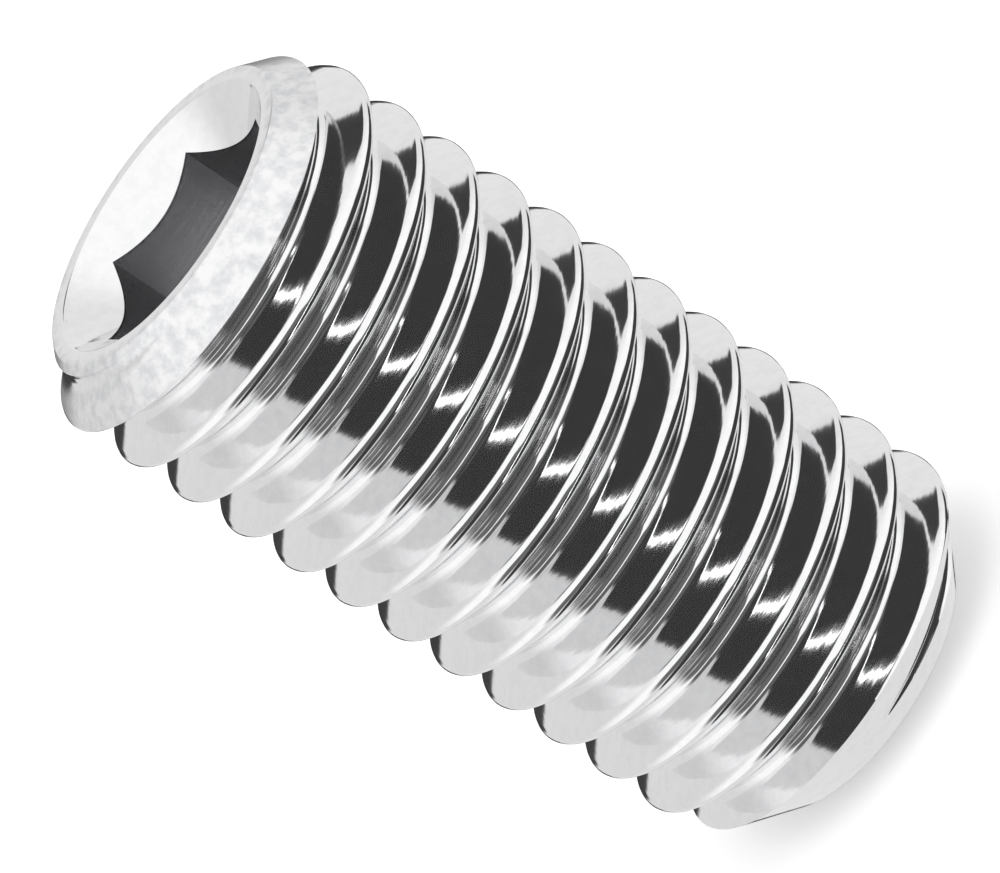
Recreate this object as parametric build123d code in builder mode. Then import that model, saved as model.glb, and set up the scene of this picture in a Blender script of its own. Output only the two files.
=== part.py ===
from build123d import *
import os
from math import ceil, cos, pi, radians, tan

# Hexagon socket set screw, M10 x 1.5 x 20, with a flat point.
#
# A socket set screw, or grub screw, is turned, threaded and broached from one bar, so it is one
# solid. It stands on its point: the origin is at the middle of the point's flat face, +Z runs
# along the screw's axis towards the hexagon socket, and two of the socket's corners lie on X.

# ---------------------------------------------------------------- driving dimensions (mm)
length = 20.0                # overall, face to face

# thread
major_diameter = 9.85        # over the crests: an M10 thread in the middle of its 6g tolerance
pitch = 1.5
thread_angle = 60.0          # between the two flanks
thread_depth = 0.92          # crest to root
crest_flat = 0.19            # width of the crest, along the axis
crest_at_x = 0.19            # height above the point's face of a crest, where it crosses +X

# socket end
socket_face_diameter = 7.72  # outside of the flat ring round the socket
socket_end_angle = 45.0      # chamfer, measured from the end face
mouth_diameter = 7.0         # countersink where it meets the end face
mouth_angle = 90.0           # included angle of the countersink
across_flats = 5.05          # hexagon socket for a 5 mm key, mid tolerance
socket_depth = 6.0           # full hexagon, measured from the end face
drill_point_angle = 120.0    # included angle of the cone below the hexagon

# point end
point_diameter = 6.8         # flat point
point_end_angle = 45.0       # chamfer, measured from the end face

edge_radius = 0.08           # rounding where the end faces meet their chamfers and the countersink

# ---------------------------------------------------------------- derived
crest_radius = major_diameter / 2
socket_face_radius = socket_face_diameter / 2
point_radius = point_diameter / 2
socket_chamfer = (crest_radius - socket_face_radius) * tan(radians(socket_end_angle))
point_chamfer = (crest_radius - point_radius) * tan(radians(point_end_angle))

mouth_radius = mouth_diameter / 2
mouth_depth = mouth_radius / tan(radians(mouth_angle / 2))
corner_radius = across_flats / 2 / cos(pi / 6)
drill_radius = across_flats / 2
drill_cone_depth = drill_radius / tan(radians(drill_point_angle / 2))

flank_slope = tan(radians(thread_angle / 2))
root_flat = pitch - crest_flat - 2 * thread_depth * flank_slope
root_radius = crest_radius - thread_depth
# The cutter stands out past the crests, where its turns still keep a thin gap between them.
cutter_turn_gap = crest_flat / 2
cutter_mouth = pitch - cutter_turn_gap
cutter_depth = (cutter_mouth - root_flat) / 2 / flank_slope
# The groove is chased in passes of a few whole turns, from outside one end to outside the
# other. Each pass starts on +X, half a pitch from a crest.
turns_per_pass = 3
pass_height = turns_per_pass * pitch
run_out = pitch
first_pass = crest_at_x - pitch / 2 - pass_height
pass_count = ceil((length + run_out - first_pass) / pass_height)

# ---------------------------------------------------------------- set screw
with BuildPart() as set_screw:
    # the bar, faced to length and chamfered at both ends
    with BuildSketch(Plane.XZ) as blank:
        with BuildLine():
            Polyline(
                (0, 0),
                (point_radius, 0),
                (crest_radius, point_chamfer),
                (crest_radius, length - socket_chamfer),
                (socket_face_radius, length),
                (0, length),
                close=True,
            )
        make_face()
        point_corner = blank.vertices().group_by(Axis.Y)[0].sort_by(Axis.X)[-1]
        socket_corner = blank.vertices().group_by(Axis.Y)[-1].sort_by(Axis.X)[-1]
        fillet([point_corner, socket_corner], radius=edge_radius)
    revolve(axis=Axis.Z)

    # the right-hand thread's groove
    for pass_number in range(pass_count):
        with BuildLine(Plane.XY.offset(first_pass + pass_number * pass_height)) as cutter_path:
            Helix(pitch=pitch, height=pass_height, radius=root_radius)
        path_start = Plane(origin=cutter_path.line @ 0, x_dir=(1, 0, 0), z_dir=(0, -1, 0))
        with BuildSketch(path_start) as cutter:
            with BuildLine():
                Polyline(
                    (0, -root_flat / 2),
                    (cutter_depth, -cutter_mouth / 2),
                    (cutter_depth, cutter_mouth / 2),
                    (0, root_flat / 2),
                    close=True,
                )
            make_face()
        sweep(path=cutter_path.line, is_frenet=True, mode=Mode.SUBTRACT)

    # the countersunk mouth of the socket
    with BuildSketch(Plane.XZ) as mouth:
        with BuildLine():
            Polyline(
                (0, length - mouth_depth),
                (mouth_radius, length),
                (0, length),
                close=True,
            )
        make_face()
    revolve(axis=Axis.Z, mode=Mode.SUBTRACT)
    rings = set_screw.edges().filter_by(GeomType.CIRCLE)
    mouth_edge = rings.group_by(Axis.Z)[-1].sort_by(SortBy.RADIUS)[0]
    fillet(mouth_edge, radius=edge_radius)

    # the broached hexagon
    with BuildSketch(Plane.XY.offset(length)) as hexagon:
        RegularPolygon(radius=corner_radius, side_count=6)
    extrude(amount=-socket_depth, mode=Mode.SUBTRACT)

    # the drill's cone under the hexagon
    with BuildSketch(Plane.XZ) as drill_point:
        with BuildLine():
            Polyline(
                (0, length - socket_depth - drill_cone_depth),
                (drill_radius, length - socket_depth),
                (0, length - socket_depth),
                close=True,
            )
        make_face()
    revolve(axis=Axis.Z, mode=Mode.SUBTRACT)

set_screw.part.label = "set_screw"

# ---------------------------------------------------------------- files
os.makedirs("parts", exist_ok=True)
export_step(set_screw.part, "parts/set_screw.step")
print(f"set_screw: {len(set_screw.part.solids())} solid, {set_screw.part.volume:.2f} mm3,"
      f" valid {set_screw.part.is_valid}")
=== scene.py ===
# %% [markdown]
# # A socket set screw, modelled and plated
# This lesson dresses one small machine part: a grub screw with a hexagon socket. The CAD model is
# loaded first as a fixed frame that says how big the screw is and where it stands. Everything
# made here has to fit inside it. Blender works in metres, and a screw is easier to think about in
# millimetres, so the mesh is made in millimetres and scaled once, at the end.

# %% Load the frame
import bpy
import bmesh
import math
from mathutils import Matrix, Vector


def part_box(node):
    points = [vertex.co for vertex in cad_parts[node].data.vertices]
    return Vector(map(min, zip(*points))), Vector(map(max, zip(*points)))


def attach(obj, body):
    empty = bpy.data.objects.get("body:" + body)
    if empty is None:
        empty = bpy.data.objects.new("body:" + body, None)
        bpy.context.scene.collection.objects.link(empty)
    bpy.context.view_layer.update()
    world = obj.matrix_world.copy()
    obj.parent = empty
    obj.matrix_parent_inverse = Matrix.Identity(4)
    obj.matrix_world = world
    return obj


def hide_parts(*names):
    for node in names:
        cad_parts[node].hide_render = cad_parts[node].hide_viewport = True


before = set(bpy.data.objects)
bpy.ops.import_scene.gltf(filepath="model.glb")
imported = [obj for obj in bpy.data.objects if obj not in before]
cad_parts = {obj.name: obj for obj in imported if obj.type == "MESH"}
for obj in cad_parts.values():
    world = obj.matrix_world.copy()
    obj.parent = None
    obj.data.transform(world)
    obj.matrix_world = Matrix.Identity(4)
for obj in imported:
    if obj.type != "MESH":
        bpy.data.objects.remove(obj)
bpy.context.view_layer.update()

screw_low, screw_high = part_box("set_screw")
MM = 0.001
print("screw stands", round(screw_high[2] / MM, 2), "mm high")

# %% [markdown]
# ## Sizes
# The overall sizes come from the frame. The rest are the sizes of an M10 x 1.5 set screw, in
# millimetres: the thread's pitch and depth, the flat ring round the socket, the countersink, the
# hexagon and the flat point. The crest and the root are rounded over almost their whole width, as
# a rolled and plated thread is.

# %% Sizes
LENGTH = screw_high[2] / MM
CREST_RADIUS = (screw_high[0] - screw_low[0]) / 2 / MM
PITCH = 1.5
THREAD_DEPTH = 0.92
CREST_FLAT = 0.19
FLANK_ANGLE = math.radians(30)
CREST_AT_X = 0.19

FACE_RADIUS = 3.86
MOUTH_RADIUS = 3.5
HALF_FLATS = 5.05 / 2
SOCKET_DEPTH = 6.0
DRILL_CONE_DEPTH = HALF_FLATS / math.tan(math.radians(60))
POINT_RADIUS = 3.4
EDGE_RADIUS = 0.08
CREST_ROUND = 0.09
ROOT_ROUND = 0.12

ROOT_RADIUS = CREST_RADIUS - THREAD_DEPTH
ROOT_FLAT = PITCH - CREST_FLAT - 2 * THREAD_DEPTH * math.tan(FLANK_ANGLE)
print("groove floor", round(ROOT_FLAT, 3), "mm wide at radius", round(ROOT_RADIUS, 3))

# %% [markdown]
# ## One tooth of the thread
# A screw thread is one shape, a trapezoid with 60 degrees between its flanks, carried round the
# axis while it climbs. So one tooth is drawn as a line of edges, from the middle of one groove to
# the middle of the next. A vertex bevel rounds its four corners. The flanks are then divided,
# because the chamfers will cut across them near the ends, and crowned by a hundredth of a
# millimetre, as plating leaves them.

# %% Draw the tooth
STEPS_PER_TURN = 180
FLANK_DIVISIONS = 6
FLANK_CROWN = 0.01


def draw_tooth(bm, crest_height):
    """Draws one tooth in the XZ plane, with its crest's middle at crest_height."""
    outline = [(ROOT_RADIUS, -PITCH / 2), (ROOT_RADIUS, (ROOT_FLAT - PITCH) / 2),
               (CREST_RADIUS, -CREST_FLAT / 2), (CREST_RADIUS, CREST_FLAT / 2),
               (ROOT_RADIUS, (PITCH - ROOT_FLAT) / 2), (ROOT_RADIUS, PITCH / 2)]
    verts = [bm.verts.new((r, 0, crest_height + z)) for r, z in outline]
    edges = [bm.edges.new(pair) for pair in zip(verts, verts[1:])]
    for flank in (edges[1], edges[3]):
        bmesh.ops.subdivide_edges(bm, edges=[flank], cuts=FLANK_DIVISIONS - 1)
    for vert in bm.verts:
        up_flank = (vert.co.x - ROOT_RADIUS) / THREAD_DEPTH * 2 - 1
        if abs(up_flank) < 0.99:
            vert.co.z += math.copysign(FLANK_CROWN * (1 - up_flank ** 2), vert.co.z - crest_height)
    for radius, rounding in ((ROOT_RADIUS, ROOT_ROUND), (CREST_RADIUS, CREST_ROUND)):
        corners = [vert for vert in bm.verts if abs(vert.co.x - radius) < 1e-4 and len(vert.link_edges) == 2]
        bmesh.ops.bevel(bm, geom=corners, offset=rounding, segments=3, profile=0.5,
                        affect="VERTICES", material=-1)
    return bm.verts[:] + bm.edges[:]


# %% [markdown]
# ## Carry the tooth round the axis
# Spin turns geometry about an axis, and its dvec also moves it a little at every step. With a
# step of pitch / steps the tooth climbs one pitch a turn, which is a right-hand thread. Spin gets
# slow on a long mesh, so it makes one turn, and copies of that turn are stacked and welded. The
# rod starts below the point and ends above the socket, so both ends can be cut off clean.

# %% Spin the thread
def spin_thread(bm):
    turns_below = 2
    turns = math.ceil(LENGTH / PITCH) + 2 * turns_below
    tooth = draw_tooth(bm, CREST_AT_X - turns_below * PITCH)
    bmesh.ops.spin(bm, geom=tooth, cent=(0, 0, 0), axis=(0, 0, 1), dvec=(0, 0, PITCH / STEPS_PER_TURN),
                   angle=math.tau, steps=STEPS_PER_TURN, use_merge=False)
    first_turn = bm.verts[:] + bm.edges[:] + bm.faces[:]
    for turn in range(1, turns):
        copied = bmesh.ops.duplicate(bm, geom=first_turn)["geom"]
        moved = [item for item in copied if isinstance(item, bmesh.types.BMVert)]
        bmesh.ops.translate(bm, verts=moved, vec=(0, 0, PITCH * turn))
    bmesh.ops.remove_doubles(bm, verts=bm.verts[:], dist=1e-4)


screw = bmesh.new()
spin_thread(screw)
print("threaded rod", len(screw.faces), "faces")


# %% [markdown]
# ## Turn the chamfers
# A lathe tool set at 45 degrees takes the thread down to a cone at each end. A plane can't cut a
# cone, so the mesh is first slid along the axis by each vertex's own radius. In that slid shape a
# 45 degree cone is a flat plane, and bisect_plane leaves a clean line of edges where the cone
# crosses the thread. The mesh is slid back, and what stands outside the cone is moved in to it.

# %% Chamfer both ends
def radius_of(vert):
    return math.hypot(vert.co.x, vert.co.y)


def turn_chamfer(bm, face_height, face_radius, outward):
    """Turns a 45 degree cone that meets the face at face_radius. outward is 1 up, -1 down."""
    for vert in bm.verts:
        vert.co.z += outward * radius_of(vert)
    bmesh.ops.bisect_plane(bm, geom=bm.verts[:] + bm.edges[:] + bm.faces[:], dist=1e-4,
                           plane_co=(0, 0, face_height + outward * face_radius), plane_no=(0, 0, 1))
    for vert in bm.verts:
        vert.co.z -= outward * radius_of(vert)
        allowed = max(face_radius + outward * (face_height - vert.co.z), 0.5)
        if radius_of(vert) > allowed:
            shrink = allowed / radius_of(vert)
            vert.co.x *= shrink
            vert.co.y *= shrink


def face_off(bm, height, outward):
    """Cuts the rod square and returns the ring of edges that the cut leaves."""
    bmesh.ops.bisect_plane(bm, geom=bm.verts[:] + bm.edges[:] + bm.faces[:], dist=1e-4,
                           plane_co=(0, 0, height), plane_no=(0, 0, outward), clear_outer=True)
    return [edge for edge in bm.edges if edge.is_boundary and all(
        abs(vert.co.z - height) < 1e-3 for vert in edge.verts)]


EDGE_DROP = EDGE_RADIUS * (1 - math.cos(math.radians(45)))
EDGE_REACH = EDGE_RADIUS * math.tan(math.radians(22.5))
turn_chamfer(screw, LENGTH, FACE_RADIUS, 1)
turn_chamfer(screw, 0, POINT_RADIUS, -1)
socket_ring = face_off(screw, LENGTH - EDGE_DROP, 1)
point_ring = face_off(screw, EDGE_DROP, -1)
print("ring at the socket", len(socket_ring), "edges, at the point", len(point_ring))


# %% [markdown]
# ## Turn the ends, step by step
# From the ring that the cut leaves, each further turned surface is one extrusion of the ring, and
# its vertices are then set to a new radius and height. The radius may depend on the angle, so the
# same step can turn a round ring into the hexagon. Where the 45 degree countersink meets the six
# flats, its depth follows from their distance, and that gives the scallops at the socket's mouth.

# %% A step of the lathe
def turn_step(bm, ring, radius, height):
    """Extrudes a ring of edges. radius and height are functions of the angle about the axis."""
    made = bmesh.ops.extrude_edge_only(bm, edges=ring)["geom"]
    for vert in (item for item in made if isinstance(item, bmesh.types.BMVert)):
        angle = math.atan2(vert.co.y, vert.co.x)
        reach = radius(angle)
        vert.co = Vector((reach * math.cos(angle), reach * math.sin(angle), height(angle)))
    return [item for item in made if isinstance(item, bmesh.types.BMEdge) and item.is_boundary]


def turn_ring(bm, ring, radius, height):
    return turn_step(bm, ring, lambda angle: radius, lambda angle: height)


def round_edge(bm, ring, corner_radius, face_height, outward, inner, segments=3):
    """Rounds a face's edge: the outer one from its chamfer, or the inner one into a countersink."""
    centre_radius = corner_radius + (EDGE_REACH if inner else -EDGE_REACH)
    side = -1 if inner else 1
    for step in range(0 if inner else 1, segments + 1):
        turn = math.radians(45) * (step if inner else segments - step) / segments
        ring = turn_ring(bm, ring, centre_radius + side * EDGE_RADIUS * math.sin(turn),
                         face_height - outward * EDGE_RADIUS * (1 - math.cos(turn)))
    return ring


# %% [markdown]
# ## The socket
# The flat ring, the countersink, the hexagon and the drill's cone follow one another inwards.
# A broached hexagon has sharp corners and flat walls, and the cone left by the drill under it is
# only as wide as the flats, so small flat triangles stay in the hexagon's corners.

# %% Turn the socket
WALL_DEPTHS = (1.4, 2.2, 3.2, 4.4, SOCKET_DEPTH)
CONE_STEPS = (0.3, 0.6, 0.85, 1.0)


def hexagon_radius(angle):
    """Distance from the axis to the hexagon's wall, with two of its corners on X."""
    from_flat = (angle % math.radians(60)) - math.radians(30)
    return HALF_FLATS / math.cos(from_flat)


def scallop_height(angle):
    return LENGTH - (MOUTH_RADIUS - hexagon_radius(angle))


ring = round_edge(screw, socket_ring, FACE_RADIUS, LENGTH, 1, inner=False)
ring = round_edge(screw, ring, MOUTH_RADIUS, LENGTH, 1, inner=True)
ring = turn_step(screw, ring, hexagon_radius, scallop_height)
for depth in WALL_DEPTHS:
    ring = turn_step(screw, ring, hexagon_radius, lambda angle, d=depth: LENGTH - d)
cone_top = LENGTH - SOCKET_DEPTH
ring = turn_ring(screw, ring, HALF_FLATS * 0.999, cone_top - 0.001)
for part_way in CONE_STEPS:
    ring = turn_ring(screw, ring, HALF_FLATS * (1 - part_way), cone_top - DRILL_CONE_DEPTH * part_way)
print("socket turned, faces now", len(screw.faces))

# %% [markdown]
# ## The point
# The flat point is faced in a lathe, so it is a plain disc inside a rounded edge. Two steps
# inwards keep its shading flat right up to that edge.

# %% Turn the point
ring = round_edge(screw, point_ring, POINT_RADIUS, 0, -1, inner=False)
for share in (0.97, 0.5):
    ring = turn_ring(screw, ring, POINT_RADIUS * share, 0)
bmesh.ops.contextual_create(screw, geom=ring)

# %% [markdown]
# ## Close and shade the mesh
# The walls of a closed solid must all face outwards, so the normals are worked out again after
# the doubled vertices are merged. Smooth shading suits the thread, and an edge sharper than 30
# degrees stays crisp.

# %% Finish the mesh
SHARP_ANGLE = math.radians(30)


def finish_mesh(bm, name):
    bmesh.ops.dissolve_degenerate(bm, dist=1e-4, edges=bm.edges[:])
    bmesh.ops.remove_doubles(bm, verts=bm.verts[:], dist=1e-4)
    bmesh.ops.triangulate(bm, faces=[face for face in bm.faces if len(face.verts) > 4])
    bmesh.ops.recalc_face_normals(bm, faces=bm.faces[:])
    for face in bm.faces:
        face.smooth = True
    for edge in bm.edges:
        edge.smooth = edge.calc_face_angle(0.0) < SHARP_ANGLE
    bmesh.ops.scale(bm, vec=(MM, MM, MM), verts=bm.verts[:])
    open_edges = sum(not edge.is_manifold for edge in bm.edges)
    mesh = bpy.data.meshes.new(name)
    bm.to_mesh(mesh)
    bm.free()
    piece = bpy.data.objects.new(name, mesh)
    bpy.context.scene.collection.objects.link(piece)
    triangles = sum(len(polygon.vertices) - 2 for polygon in mesh.polygons)
    print(name, triangles, "triangles,", open_edges, "open edges")
    return piece


threaded_body = finish_mesh(screw, "threaded_body")
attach(threaded_body, "root")
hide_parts("set_screw")

# %% [markdown]
# ## Shader sums as Python
# A material is easier to read as sums than as a web of nodes. This small class wraps a socket, so
# that a plus b adds a Math node, node() makes any other kind of node, and ramp() eases from one
# value to another.


# %% Shader helper
class Sum:
    """A shader value that can be added, subtracted and multiplied with Python's operators."""

    def __init__(self, tree, socket):
        self.tree = tree
        self.socket = socket

    def math(self, operation, other):
        return node(self.tree, "ShaderNodeMath", {"operation": operation}, {0: self, 1: other})

    def __add__(self, other):
        return self.math("ADD", other)

    __radd__ = __add__

    def __sub__(self, other):
        return self.math("SUBTRACT", other)

    def __rsub__(self, other):
        return node(self.tree, "ShaderNodeMath", {"operation": "SUBTRACT"}, {0: other, 1: self})

    def __mul__(self, other):
        return self.math("MULTIPLY", other)

    __rmul__ = __mul__


def node(tree, kind, settings, inputs, output=0):
    """Adds a node, sets it up, fills or links its sockets and wraps one of its outputs."""
    made = tree.nodes.new(kind)
    for name, value in settings.items():
        setattr(made, name, value)
    for name, value in inputs.items():
        if isinstance(value, Sum):
            tree.links.new(value.socket, made.inputs[name])
        else:
            made.inputs[name].default_value = value
    return Sum(tree, made.outputs[output])


def ramp(value, low, high, start=0.0, end=1.0):
    """Eases from start to end while a shader value goes from low to high."""
    return node(value.tree, "ShaderNodeMapRange", {"interpolation_type": "SMOOTHSTEP"},
                {"Value": value, "From Min": low, "From Max": high, "To Min": start, "To Max": end})


# %% [markdown]
# ## Bright zinc plate
# The plating is a thin mirror over turned steel. On the thread it is nearly clear, with faint
# rings left by the die. The end face and its chamfer were cut before plating, so they are a
# little rougher and look mottled. The walls of the socket were broached, so they are rougher and
# scratched, and their colour is darker: painted shade for the inside of the socket. Height and
# radius on the screw tell the three apart.

# %% The plating
BRIGHT_PLATE = (0.87, 0.87, 0.875, 1)
DULL_PLATE = (0.66, 0.665, 0.68, 1)
# the broached walls' colour, darker than the plate as painted shade inside the socket
BROACHED_WALL_PAINTED_SHADE = (0.72, 0.72, 0.73, 1)


def bright_plating():
    material = bpy.data.materials.new("bright_plated_steel")
    material.use_nodes = True
    tree = material.node_tree
    shader = tree.nodes["Principled BSDF"]
    place = node(tree, "ShaderNodeTexCoord", {}, {}, "Object")
    split = tree.nodes.new("ShaderNodeSeparateXYZ")
    tree.links.new(place.socket, split.inputs[0])
    x, y, z = (Sum(tree, output) for output in split.outputs)
    radius = (x * x + y * y).math("POWER", 0.5)

    def noise(scale, detail=3.0, roughness=0.5, stretch=(1, 1, 1)):
        mapped = node(tree, "ShaderNodeMapping", {}, {"Vector": place, "Scale": stretch})
        return node(tree, "ShaderNodeTexNoise", {}, {"Vector": mapped, "Scale": scale / MM,
                    "Detail": detail, "Roughness": roughness}, "Fac")

    # 1 on the end face and its chamfer, 0 on the thread and in the socket
    near_end = ramp(z + radius, (LENGTH + FACE_RADIUS - 0.25) * MM, (LENGTH + FACE_RADIUS - 0.05) * MM)
    above_scallops = ramp(z, (LENGTH - 1.15) * MM, (LENGTH - 0.95) * MM)
    end_zone = near_end * above_scallops
    # 1 on the broached walls below the countersink, 0 elsewhere: they are rougher and scratched, and their
    # darker colour is painted shade
    mouth_cone = LENGTH - MOUTH_RADIUS
    below_mouth = 1.0 - ramp(z - radius, (mouth_cone - 0.06) * MM, (mouth_cone - 0.02) * MM)
    broached_and_painted_shade = below_mouth * (1.0 - ramp(radius, 3.1 * MM, 3.3 * MM))

    mottle = noise(3.2, 4.0, 0.6)
    fine_mottle = noise(6.0, 3.0, 0.6)
    die_rings = noise(9.0, 2.0, 0.5, (0.08, 0.08, 1.0))
    blotch = noise(0.7, 3.0, 0.55)
    scratches = noise(3.0, 3.0, 0.6, (1.0, 1.0, 0.25))

    shade = ramp(mottle, 0.35, 0.7)
    tint = shade * (0.2 + 0.65 * end_zone)
    plate = node(tree, "ShaderNodeMix", {"data_type": "RGBA"},
                 {0: tint, 6: BRIGHT_PLATE, 7: DULL_PLATE}, 2)
    # the socket walls get their darker colour here, which is painted shade, broken up by the scratches
    colour = node(tree, "ShaderNodeMix", {"data_type": "RGBA"},
                  {0: broached_and_painted_shade * (0.75 + 0.25 * scratches), 6: plate, 7: BROACHED_WALL_PAINTED_SHADE}, 2)
    tree.links.new(colour.socket, shader.inputs["Base Color"])
    shader.inputs["Metallic"].default_value = 1.0
    roughness = 0.05 + 0.06 * blotch + end_zone * (0.16 + 0.16 * mottle) + 0.14 * broached_and_painted_shade
    tree.links.new(roughness.socket, shader.inputs["Roughness"])

    relief = 0.5 * die_rings + 0.5 * blotch + end_zone * (0.9 * mottle + 0.9 * fine_mottle) \
        + 0.9 * broached_and_painted_shade * scratches
    bump = node(tree, "ShaderNodeBump", {},
                {"Strength": 0.4, "Distance": 0.012 * MM, "Height": relief}, "Normal")
    tree.links.new(bump.socket, shader.inputs["Normal"])
    return material


plating = bright_plating()
threaded_body.data.materials.append(plating)
print("plating has", len(plating.node_tree.nodes), "nodes")

# %% [markdown]
# ## The floor
# The screw stands on a plain sheet of white paper, wide enough to fill every view. It is part of
# the studio and not of the screw.

# %% The floor
FLOOR_SIZE = 4.0
FLOOR_GLOW = 0.35


def lay_floor():
    bm = bmesh.new()
    bmesh.ops.create_grid(bm, x_segments=1, y_segments=1, size=FLOOR_SIZE / 2)
    mesh = bpy.data.meshes.new("white_paper")
    bm.to_mesh(mesh)
    bm.free()
    paper = bpy.data.materials.new("white_paper")
    paper.use_nodes = True
    shader = paper.node_tree.nodes["Principled BSDF"]
    shader.inputs["Base Color"].default_value = (0.95, 0.95, 0.95, 1)
    shader.inputs["Roughness"].default_value = 0.9
    shader.inputs["Emission Color"].default_value = (1, 1, 1, 1)
    shader.inputs["Emission Strength"].default_value = FLOOR_GLOW
    mesh.materials.append(paper)
    floor = bpy.data.objects.new("white_paper", mesh)
    floor.visible_glossy = False
    bpy.context.scene.collection.objects.link(floor)


lay_floor()

# %% [markdown]
# ## The room
# Bright metal shows its surroundings and little else, so the room is half of the finish. A V groove
# of 60 degrees reflects twice: light meets one flank, then the other, and leaves downwards and
# forwards. So the room is a pale tent above, and below the horizon it has a dark panel in front
# and to the right, which turns the flanks charcoal with a crisp edge on the left. A narrow leaning
# lamp in front of the panel draws a slanted spark on every flank. A black card behind on the right
# carries the dark bands further round. The horizon in front is dim, as if someone stood there, and
# the table's far edge is dark. The paper is hidden from reflections, so that the metal sees the
# room instead.
#
# The room is written as sums of the direction that a ray leaves in: x to the right, y away from the
# camera and z up, each from -1 to 1.

# %% The room
FRONT_LIGHT = 1.12
BACK_LEFT_LIGHT = 0.78
BACK_RIGHT_LIGHT = 0.88
LOW_LEFT_LIGHT = 0.82
DIM_HORIZON = 0.15
PANEL_GLOW = 0.05
LAMP_GLOW = 3.0
PANEL_TOP, PANEL_RISE = -0.335, 0.31
PANEL_TURN = math.radians(37)
PANEL_SLANT, PANEL_MIDDLE = 1.25, -0.55
LAMP_START, LAMP_STOP = 0.055, 0.155
LAMP_SLANT, LAMP_MIDDLE = 1.7, -0.61
CARD_LEFT, CARD_RIGHT = 0.34, 0.61
CARD_NEAR, CARD_FAR = 0.39, 0.65


def light_room():
    world = bpy.data.worlds.new("pale_room")
    world.use_nodes = True
    tree = world.node_tree
    direction = node(tree, "ShaderNodeTexCoord", {}, {}, "Generated")
    split = tree.nodes.new("ShaderNodeSeparateXYZ")
    tree.links.new(direction.socket, split.inputs[0])
    x, y, z = (Sum(tree, output) for output in split.outputs)

    def window(value, low, high, soft=0.01):
        return ramp(value, low - soft, low + soft) * ramp(value, high - soft, high + soft, 1.0, 0.0)

    behind = ramp(y, 0.0, 0.55)
    back_light = ramp(x, -0.3, 0.3, BACK_LEFT_LIGHT, BACK_RIGHT_LIGHT)
    tent = FRONT_LIGHT + behind * (back_light - FRONT_LIGHT)
    panel_top = PANEL_TOP + PANEL_RISE * ramp(x, 0.6, 0.85)
    below = ramp(z - panel_top, -0.02, 0.0, 1.0, 0.0)
    slant = PANEL_SLANT * (z - PANEL_MIDDLE) * ramp(x, -0.3, 0.0, 1.0, 0.0)
    panel = ramp(x * math.sin(PANEL_TURN) - y * math.cos(PANEL_TURN) - slant, -0.015, 0.015)
    across = x.math("DIVIDE", (0 - y).math("MAXIMUM", 0.05)) - LAMP_SLANT * (z - LAMP_MIDDLE)
    lamp = window(across, LAMP_START, LAMP_STOP, 0.005)
    low_light = LOW_LEFT_LIGHT + panel * (PANEL_GLOW - LOW_LEFT_LIGHT + lamp * LAMP_GLOW)
    horizon_top = ramp(x, -0.1, 0.1, 0.45, 0.05)
    horizon = ramp(z - horizon_top, 0.0, 0.08, 1.0, 0.0) * ramp(y, -0.5, -0.3, 1.0, 0.0)
    upper_light = tent + horizon * (DIM_HORIZON - tent)
    room = upper_light + below * (low_light - upper_light)
    # the table's far edge, which darkens every silhouette
    edge_start = 0.86 + 0.085 * ramp(z, -0.3, -0.15)
    table_edge = ramp(y - edge_start, -0.01, 0.01) * ramp(z, 0.03, 0.07, 1.0, 0.0)
    # a black card hung behind on the right, which carries the dark flanks further round
    card = window(x, CARD_LEFT, CARD_RIGHT) * window(y, CARD_NEAR, CARD_FAR) * ramp(z, 0.3, 0.35)
    dark = table_edge.math("MAXIMUM", card)
    strength = room + dark * (PANEL_GLOW - room)
    background = tree.nodes["Background"]
    background.inputs["Color"].default_value = (1, 1, 1, 1)
    tree.links.new(strength.socket, background.inputs["Strength"])
    bpy.context.scene.world = world
    bpy.context.scene.view_settings.view_transform = "Standard"
    print("room lit")


light_room()

# %% [markdown]
# ## The camera
# A long lens from about 300 mm keeps the screw's sides nearly parallel. It looks down on the
# socket from 21.6 degrees above the horizon, and is rolled so that the screw lies aslant with its
# socket to the upper left.

# %% The camera
VIEW_DISTANCE = 303.52
ELEVATION = math.radians(21.634)
ROLL = math.radians(56.368)
AIM = Vector((0.077, 0, 10.442))
LENS = 492.3


def add_camera():
    data = bpy.data.cameras.new("camera")
    data.lens = LENS
    data.clip_start = 0.01
    towards_viewer = Vector((0, -math.cos(ELEVATION), math.sin(ELEVATION)))
    turn = towards_viewer.to_track_quat("Z", "Y").to_matrix() @ Matrix.Rotation(-ROLL, 3, "Z")
    place = (AIM + towards_viewer * VIEW_DISTANCE) * MM
    camera = bpy.data.objects.new("camera", data)
    camera.matrix_world = Matrix.Translation(place) @ turn.to_4x4()
    bpy.context.scene.collection.objects.link(camera)
    bpy.context.scene.camera = camera
    print("camera", round(place.length / MM), "mm away, lens", round(LENS), "mm")


add_camera()
